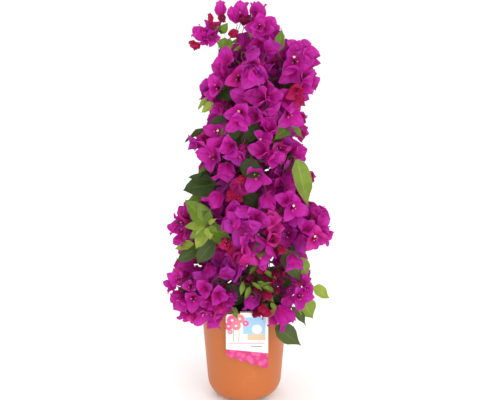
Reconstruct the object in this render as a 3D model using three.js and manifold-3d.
// Bougainvillea bush in a round plastic pot.
// Millimetres, +Z up. The origin is the centre of the pot's flat underside, and -Y is the front.
// Crown: a leaning trunk, one tapering bough for each mass of leaves and blossom, and the masses.

import * as THREE from "three";
import * as BufferGeometryUtils from "three/addons/utils/BufferGeometryUtils.js";
import Module from "manifold-3d";

const wasm = await Module();
wasm.setup();

// Driving dimensions

const clearance = 0.3; // between pieces that rest on or against each other

const pot = {
  height: 200,
  rimRadius: 85,
  footRadius: 70, // where the straight side would meet the ground
  cornerRadius: 36, // the round turn from the side to the underside
  wall: 2.4,
  segments: 44,
  cornerSteps: 7,
};

const drain = {
  count: 6, // arched openings round the lower corner
  firstBearing: -108, // degrees from +X
  width: 24,
  height: 10,
  innerRadius: 42,
  outerRadius: 90,
  shoulder: 4, // how far the arch narrows towards its top, on each side
};

const soil = {
  level: 184,
  segments: 32,
  cornerSteps: 4,
};

const label = {
  left: -34,
  right: 45,
  top: 198,
  lowerLeft: 118, // the lower edge slants down from left to right
  lowerRight: 92,
  scallops: 4,
  scallopDrop: 6,
  scallopSteps: 4,
  corner: 3,
  thickness: 0.8,
  hookWidth: 26,
  hookDepth: 11, // how far the hook reaches down inside the pot
};

const trunk = {
  // heights above the ground, with the sideways place of the stem's centre at each
  route: [
    { height: 184.3, x: 14, y: 6 },
    { height: 212, x: 21, y: 6 },
    { height: 250, x: 31, y: 5 },
    { height: 300, x: 33, y: 4 },
    { height: 370, x: 24, y: 3 },
    { height: 450, x: 15, y: 1 },
    { height: 560, x: 10, y: -1 },
    { height: 690, x: 11, y: -1 }, // inside the topmost mass, which hides the stem's tip
  ],
  footRadius: 6.6,
  tipRadius: 2.4,
  flare: 4.2, // extra radius where the stem meets the soil
  flareHeight: 11,
  sides: 10,
  steps: 22,
};

const bough = {
  startShare: 0.62, // radius beside the trunk, as a share of the trunk's radius there
  endRadius: 1.7,
  rise: 0.55, // how far the limb runs upward before it turns outward
  sides: 6,
  steps: 4,
};

const mass = {
  detail: 2, // each edge of the icosahedron in three
  squareness: 3.2, // 2 would make plain ellipsoids
  lumps: 7,
  lumpHeight: 0.2, // as a share of the mass's half size
  lumpSpread: 0.55,
  roughness: 0.05,
  reachMargin: 1.2, // lumps that lie together reach further than one alone
  gap: 2, // between neighbouring masses
  shaft: 21, // clear space from the trunk's centre to a mass
  potGap: 2.5, // clear space round the pot's wall and over its rim
};

// Every mass: its centre, its half sizes along X, Y and Z, and the height of its bough's foot
// on the trunk. The topmost one sits on the trunk itself, and one that is part of another is a
// lobe of it. Heights run from the top of the bush down, and no lobe comes first.
const masses = [
  { name: "tip", at: [32, 0, 702], half: [38, 42, 50], shaft: 0 },
  { name: "upright_tuft", at: [2, -4, 739], half: [27, 20, 23], shaft: 0, partOf: "tip" },
  { name: "top_left_spray", at: [-66, -6, 700], half: [31, 27, 34], foot: 634, shaft: 30 },
  { name: "upright_spray", at: [-44, -6, 736], half: [14, 16, 27], partOf: "top_left_spray" },
  { name: "right_shoulder", at: [86, -14, 634], half: [44, 44, 68], foot: 606 },
  { name: "upper_left", at: [-34, -24, 598], half: [43, 44, 70], foot: 576 },
  { name: "upper_front", at: [24, -66, 600], half: [48, 40, 76], foot: 564 },
  { name: "upper_back_left", at: [-25, 50, 612], half: [43, 46, 80], foot: 592 },
  { name: "upper_back_right", at: [46, 52, 608], half: [48, 45, 80], foot: 552 },
  { name: "middle_left", at: [-50, -28, 482], half: [49, 50, 90], foot: 452 },
  { name: "middle_right", at: [62, -26, 484], half: [50, 50, 92], foot: 462 },
  { name: "middle_front", at: [4, -78, 488], half: [50, 40, 88], foot: 436 },
  { name: "middle_back_left", at: [-40, 54, 482], half: [47, 50, 80], foot: 472 },
  { name: "middle_back_right", at: [56, 58, 488], half: [52, 50, 90], foot: 426 },
  { name: "left_spray", at: [-86, -46, 346], half: [50, 50, 66], foot: 326 },
  { name: "right_spray", at: [112, -32, 350], half: [49, 46, 46], foot: 322 },
  { name: "front_spray", at: [18, -90, 362], half: [56, 42, 78], foot: 310 },
  { name: "back_left_spray", at: [-71, 64, 360], half: [54, 55, 78], foot: 340 },
  { name: "back_spray", at: [17, 104, 358], half: [54, 42, 78], foot: 314 },
  { name: "back_right_spray", at: [92, 64, 364], half: [54, 54, 78], foot: 350 },
  { name: "lower_left", at: [-89, -62, 244], half: [51, 53, 66], foot: 246 },
  { name: "lower_right", at: [94, -58, 228], half: [42, 46, 50], foot: 232 },
  { name: "rim_drape", at: [84, -86, 172], half: [27, 25, 32], partOf: "lower_right" },
  { name: "lower_front", at: [26, -68, 238], half: [52, 37, 38], foot: 220 },
  { name: "lower_back_left", at: [-80, 66, 244], half: [56, 55, 66], foot: 264 },
  { name: "lower_back", at: [-4, 106, 244], half: [52, 44, 62], foot: 238 },
  { name: "lower_back_right", at: [88, 70, 248], half: [46, 50, 64], foot: 270 },
];

// A small seeded generator, so the lumps come out the same every time.
function seededRandom(seed) {
  let state = seed;
  return () => {
    state = (state * 16807) % 2147483647;
    return (state - 1) / 2147483646;
  };
}

// Solids

function solidFrom(geometry) {
  const bare = geometry.index ? geometry.toNonIndexed() : geometry.clone();
  for (const attribute of Object.keys(bare.attributes)) {
    if (attribute !== "position") {
      bare.deleteAttribute(attribute);
    }
  }
  const merged = BufferGeometryUtils.mergeVertices(bare, 1e-3);
  const corners = merged.index.array;
  const triangles = [];
  for (let i = 0; i < corners.length; i += 3) {
    const [a, b, c] = [corners[i], corners[i + 1], corners[i + 2]];
    if (a !== b && b !== c && c !== a) {
      triangles.push(a, b, c);
    }
  }
  return new wasm.Manifold(new wasm.Mesh({
    numProp: 3,
    vertProperties: new Float32Array(merged.attributes.position.array),
    triVerts: new Uint32Array(triangles),
  }));
}

function geometryFrom(solid) {
  const mesh = solid.getMesh();
  const geometry = new THREE.BufferGeometry();
  geometry.setAttribute("position", new THREE.BufferAttribute(mesh.vertProperties, 3));
  geometry.setIndex(new THREE.BufferAttribute(mesh.triVerts, 1));
  geometry.computeVertexNormals();
  return geometry;
}

// The largest of the separate bodies in a solid
function largestBody(solid) {
  const bodies = solid.decompose();
  bodies.sort((a, b) => b.volume() - a.volume());
  return bodies[0];
}

// Pot, soil and label

// Half section of the pot from the axis to a height, moved inward by an inset.
function potProfile(inset, top, steps) {
  const lean = Math.atan((pot.rimRadius - pot.footRadius) / pot.height);
  const cornerX = pot.footRadius - pot.cornerRadius * (1 - Math.sin(lean)) / Math.cos(lean);
  const radius = pot.cornerRadius - inset;
  const points = [new THREE.Vector2(0, inset)];
  for (let i = 0; i <= steps; i++) {
    const angle = THREE.MathUtils.lerp(-Math.PI / 2, -lean, i / steps);
    points.push(new THREE.Vector2(
      cornerX + radius * Math.cos(angle),
      pot.cornerRadius + radius * Math.sin(angle),
    ));
  }
  points.push(new THREE.Vector2(wallRadiusAt(top) - inset / Math.cos(lean), top));
  return points;
}

function wallRadiusAt(height) {
  return THREE.MathUtils.lerp(pot.footRadius, pot.rimRadius, height / pot.height);
}

// Lathe about Z instead of Y
function turned(profile, segments) {
  const geometry = new THREE.LatheGeometry(profile, segments);
  geometry.rotateX(Math.PI / 2);
  return solidFrom(geometry);
}

function potShell() {
  const outside = potProfile(0, pot.height, pot.cornerSteps);
  const inside = potProfile(pot.wall, pot.height, pot.cornerSteps).reverse();
  let shell = turned([...outside, ...inside], pot.segments);
  for (let i = 0; i < drain.count; i++) {
    const bearing = drain.firstBearing + (i * 360) / drain.count;
    shell = shell.subtract(drainCutter(THREE.MathUtils.degToRad(bearing)));
  }
  return shell;
}

// An arch-shaped bar that runs outward from under the pot
function drainCutter(bearing) {
  const half = drain.width / 2;
  const arch = new THREE.Shape();
  arch.moveTo(-half, -1);
  arch.lineTo(half, -1);
  arch.lineTo(half - drain.shoulder, drain.height);
  arch.lineTo(-half + drain.shoulder, drain.height);
  arch.closePath();
  const length = drain.outerRadius - drain.innerRadius;
  const bar = new THREE.ExtrudeGeometry(arch, { depth: length, bevelEnabled: false });
  bar.rotateX(Math.PI / 2);
  bar.translate(0, drain.outerRadius, 0);
  bar.rotateZ(bearing - Math.PI / 2);
  return solidFrom(bar);
}

function soilPlug() {
  const inset = pot.wall + clearance;
  const profile = potProfile(inset, soil.level, soil.cornerSteps);
  profile.push(new THREE.Vector2(0, soil.level));
  return turned(profile, soil.segments);
}

// A card in front of the pot, with a hook over the rim
function labelCard() {
  const outline = new THREE.Shape();
  outline.moveTo(label.left + label.corner, label.top);
  outline.lineTo(label.left, label.top - label.corner);
  outline.lineTo(label.left, label.lowerLeft);
  const pitch = (label.right - label.left) / label.scallops;
  const slope = (label.lowerRight - label.lowerLeft) / (label.right - label.left);
  for (let i = 0; i < label.scallops; i++) {
    for (let step = 1; step <= label.scallopSteps; step++) {
      const share = step / label.scallopSteps;
      const x = label.left + (i + share) * pitch;
      const drop = label.scallopDrop * Math.sin(share * Math.PI);
      outline.lineTo(x, label.lowerLeft + slope * (x - label.left) - drop);
    }
  }
  outline.lineTo(label.right, label.top - label.corner);
  outline.lineTo(label.right - label.corner, label.top);
  outline.closePath();
  const back = -pot.rimRadius - clearance;
  const card = new THREE.ExtrudeGeometry(outline, { depth: label.thickness, bevelEnabled: false });
  card.rotateX(Math.PI / 2);
  card.translate(0, back, 0);
  return solidFrom(card).add(labelHook(back));
}

function labelHook(back) {
  const front = back - label.thickness;
  const over = pot.height + clearance;
  const middle = (label.left + label.right) / 2;
  const furthestSide = Math.abs(middle) + label.hookWidth / 2;
  const innerRadius = wallRadiusAt(pot.height - label.hookDepth) - pot.wall - 2 * clearance;
  const inside = -Math.sqrt(innerRadius ** 2 - furthestSide ** 2);
  const section = new THREE.Shape();
  section.moveTo(front, label.top - label.hookDepth);
  section.lineTo(back, label.top - label.hookDepth);
  section.lineTo(back, over);
  section.lineTo(inside, over);
  section.lineTo(inside, pot.height - label.hookDepth);
  section.lineTo(inside + label.thickness, pot.height - label.hookDepth);
  section.lineTo(inside + label.thickness, over + label.thickness);
  section.lineTo(front, over + label.thickness);
  section.closePath();
  const hook = new THREE.ExtrudeGeometry(section, { depth: label.hookWidth, bevelEnabled: false });
  hook.translate(0, 0, -label.hookWidth / 2);
  // the section's x is world Y, its y is world Z, and its depth runs along world X
  hook.applyMatrix4(new THREE.Matrix4().makeBasis(
    new THREE.Vector3(0, 1, 0),
    new THREE.Vector3(0, 0, 1),
    new THREE.Vector3(1, 0, 0),
  ));
  hook.translate(middle, 0, 0);
  return solidFrom(hook);
}

// Everything that leaves have to hang clear of: the pot with its rim, and the label
function potEnvelope() {
  const profile = potProfile(-mass.potGap, pot.height + mass.potGap, soil.cornerSteps);
  profile.push(new THREE.Vector2(0, pot.height + mass.potGap));
  return turned(profile, soil.segments);
}

function labelEnvelope() {
  const width = label.right - label.left + 2 * mass.gap;
  const height = pot.height - label.lowerRight + label.scallopDrop + 3 * mass.gap;
  const depth = label.thickness + 2 * mass.gap;
  const box = new THREE.BoxGeometry(width, depth, height);
  box.translate(
    (label.left + label.right) / 2,
    -pot.rimRadius - depth / 2,
    pot.height + 2 * mass.gap - height / 2,
  );
  return solidFrom(box);
}

// Limbs

// A round limb along a curve, from one radius to another, with flat ends.
// The section stays level where level is true, as on an upright trunk.
function limbSolid(curve, radiusAt, sides, steps, level) {
  const limb = new THREE.CylinderGeometry(1, 1, 1, sides, steps);
  const places = limb.attributes.position;
  const frames = curve.computeFrenetFrames(steps, false);
  for (let i = 0; i < places.count; i++) {
    const share = places.getY(i) + 0.5;
    const step = Math.round(share * steps);
    const radius = radiusAt(share);
    const centre = curve.getPointAt(share);
    const side = level ? new THREE.Vector3(1, 0, 0) : frames.normals[step];
    const other = level ? new THREE.Vector3(0, -1, 0) : frames.binormals[step];
    centre.addScaledVector(side, places.getX(i) * radius);
    centre.addScaledVector(other, -places.getZ(i) * radius);
    places.setXYZ(i, centre.x, centre.y, centre.z);
  }
  return facingOut(limb);
}

// A mapped cylinder can come out mirrored, so its triangles are turned where its volume is negative.
function facingOut(geometry) {
  const flat = geometry.toNonIndexed();
  const places = flat.attributes.position;
  const [a, b, c] = [new THREE.Vector3(), new THREE.Vector3(), new THREE.Vector3()];
  let volume = 0;
  for (let i = 0; i < places.count; i += 3) {
    a.fromBufferAttribute(places, i);
    b.fromBufferAttribute(places, i + 1);
    c.fromBufferAttribute(places, i + 2);
    volume += a.dot(b.cross(c));
  }
  if (volume < 0) {
    for (let i = 0; i < places.count; i += 3) {
      b.fromBufferAttribute(places, i + 1);
      c.fromBufferAttribute(places, i + 2);
      places.setXYZ(i + 1, c.x, c.y, c.z);
      places.setXYZ(i + 2, b.x, b.y, b.z);
    }
  }
  return solidFrom(flat);
}

const trunkCurve = new THREE.CatmullRomCurve3(
  trunk.route.map((place) => new THREE.Vector3(place.x, place.y, place.height)),
);

// The point of the trunk's centre line at a height
function trunkCentreAt(height) {
  let low = 0;
  let high = 1;
  for (let i = 0; i < 30; i++) {
    const middle = (low + high) / 2;
    if (trunkCurve.getPoint(middle).z < height) {
      low = middle;
    } else {
      high = middle;
    }
  }
  return trunkCurve.getPoint(low);
}

function trunkRadiusAt(height) {
  const foot = trunk.route[0].height;
  const tip = trunk.route.at(-1).height;
  const share = (height - foot) / (tip - foot);
  const flare = trunk.flare * Math.exp(-(height - foot) / trunk.flareHeight);
  return THREE.MathUtils.lerp(trunk.footRadius, trunk.tipRadius, share) + flare;
}

function trunkSolid(extra) {
  const radiusAt = (share) => trunkRadiusAt(trunkCurve.getPointAt(share).z) + extra;
  return limbSolid(trunkCurve, radiusAt, trunk.sides, trunk.steps, true);
}

// From the trunk's centre up and out to the middle of a mass; cut later by the trunk and the mass
function boughSolid(spec) {
  const start = trunkCentreAt(spec.foot);
  const end = new THREE.Vector3(...spec.at);
  const turn = start.clone().lerp(end, 0.4);
  turn.z = THREE.MathUtils.lerp(start.z, end.z, bough.rise);
  const curve = new THREE.QuadraticBezierCurve3(start, turn, end);
  const startRadius = trunkRadiusAt(spec.foot) * bough.startShare;
  const radiusAt = (share) => THREE.MathUtils.lerp(startRadius, bough.endRadius, share);
  return limbSolid(curve, radiusAt, bough.sides, bough.steps, false);
}

// Masses

// How far a mass reaches along a direction, lumps included
function reachAlong(spec, direction) {
  const power = mass.squareness / (mass.squareness - 1);
  const shares = direction.toArray().map((value, i) => Math.abs(value * spec.half[i]) ** power);
  return (shares[0] + shares[1] + shares[2]) ** (1 / power) * (1 + mass.lumpHeight / 2);
}

// The factor that takes a place on the unit ball to the rounded box inside the unit cube
function squareFactor(place) {
  const shares = place.toArray().map((value) => Math.abs(value) ** mass.squareness);
  return (shares[0] + shares[1] + shares[2]) ** (-1 / mass.squareness);
}

// Planes that a mass stays behind: one towards each neighbour that it would meet, and one
// towards the trunk. Each has an outward normal and its distance from the mass's centre.
function limitsOf(spec) {
  const centre = new THREE.Vector3(...spec.at);
  const limits = [];
  for (const other of masses) {
    if (other === spec || other.partOf === spec.name || spec.partOf === other.name) {
      continue;
    }
    const towards = new THREE.Vector3(...other.at).sub(centre);
    const distance = towards.length();
    towards.normalize();
    const own = reachAlong(spec, towards);
    const theirs = reachAlong(other, towards);
    if ((own + theirs) * mass.reachMargin + mass.gap > distance) {
      const share = own / (own + theirs);
      limits.push({ normal: towards, distance: distance * share - mass.gap / 2 });
    }
  }
  const shaft = spec.shaft ?? mass.shaft;
  if (shaft > 0) {
    const inward = trunkCentreAt(spec.at[2]).sub(centre);
    inward.z = 0;
    const distance = inward.length() - shaft;
    limits.push({ normal: inward.normalize(), distance });
  }
  return limits;
}

function massSolid(spec, index) {
  const random = seededRandom(411 + 97 * index);
  const lumps = [];
  for (let i = 0; i < mass.lumps; i++) {
    const height = 2 * random() - 1;
    const bearing = 2 * Math.PI * random();
    const ring = Math.sqrt(1 - height * height);
    lumps.push(new THREE.Vector3(ring * Math.cos(bearing), ring * Math.sin(bearing), height));
  }
  const limits = limitsOf(spec);
  const geometry = new THREE.IcosahedronGeometry(1, mass.detail);
  for (const attribute of ["normal", "uv"]) {
    geometry.deleteAttribute(attribute);
  }
  const ball = BufferGeometryUtils.mergeVertices(geometry, 1e-4);
  const places = ball.attributes.position;
  const place = new THREE.Vector3();
  for (let i = 0; i < places.count; i++) {
    place.fromBufferAttribute(places, i).normalize();
    let swell = 1 - mass.lumpHeight / 2 + mass.roughness * (2 * random() - 1);
    for (const lump of lumps) {
      const nearness = Math.max(0, (place.dot(lump) - mass.lumpSpread) / (1 - mass.lumpSpread));
      swell += mass.lumpHeight * nearness * nearness;
    }
    place.multiplyScalar(swell * squareFactor(place));
    place.set(place.x * spec.half[0], place.y * spec.half[1], place.z * spec.half[2]);
    for (const limit of limits) {
      const reach = place.dot(limit.normal);
      if (reach > limit.distance) {
        place.multiplyScalar(limit.distance / reach);
      }
    }
    places.setXYZ(i, spec.at[0] + place.x, spec.at[1] + place.y, spec.at[2] + place.z);
  }
  return solidFrom(ball);
}

// A copy of a mass that is larger by the clearance, to cut the bough that enters it
function swollen(solid, spec) {
  const least = Math.min(...limitsOf(spec).map((limit) => limit.distance), ...spec.half);
  const factor = 1 + (clearance * 1.5) / least;
  const [x, y, z] = spec.at;
  return solid.translate(-x, -y, -z).scale(factor).translate(x, y, z);
}

// Assembly

const colours = {
  pot: { color: 0xd07a42, roughness: 0.55 },
  soil: { color: 0x3a2a20, roughness: 1 },
  label: { color: 0xf0dccb, roughness: 0.4 },
  bark: { color: 0x7a6248, roughness: 0.9 },
  blossom: { color: 0xb01f92, roughness: 0.7 },
};

const bush = new THREE.Group();

function addPiece(name, solid, finish) {
  const material = new THREE.MeshStandardMaterial({ ...finish, metalness: 0 });
  const piece = new THREE.Mesh(geometryFrom(solid), material);
  piece.name = name;
  bush.add(piece);
}

addPiece("pot", potShell(), colours.pot);
addPiece("soil", soilPlug(), colours.soil);
addPiece("label", labelCard(), colours.label);

const envelope = potEnvelope().add(labelEnvelope());
const massSolids = new Map();
masses.forEach((spec, index) => {
  const whole = spec.partOf ?? spec.name;
  const solid = massSolid(spec, index);
  massSolids.set(whole, massSolids.has(whole) ? massSolids.get(whole).add(solid) : solid);
});
for (const [name, solid] of massSolids) {
  massSolids.set(name, largestBody(solid.subtract(envelope)));
  addPiece(`mass_${name}`, massSolids.get(name), colours.blossom);
}

const trunkRoom = trunkSolid(clearance);
const [topmost] = masses;
addPiece(
  "trunk",
  largestBody(trunkSolid(0).subtract(swollen(massSolids.get(topmost.name), topmost))),
  colours.bark,
);
for (const spec of masses.filter((each) => each.foot !== undefined)) {
  const free = boughSolid(spec)
    .subtract(trunkRoom)
    .subtract(swollen(massSolids.get(spec.name), spec));
  addPiece(`bough_${spec.name}`, largestBody(free), colours.bark);
}

export default bush;
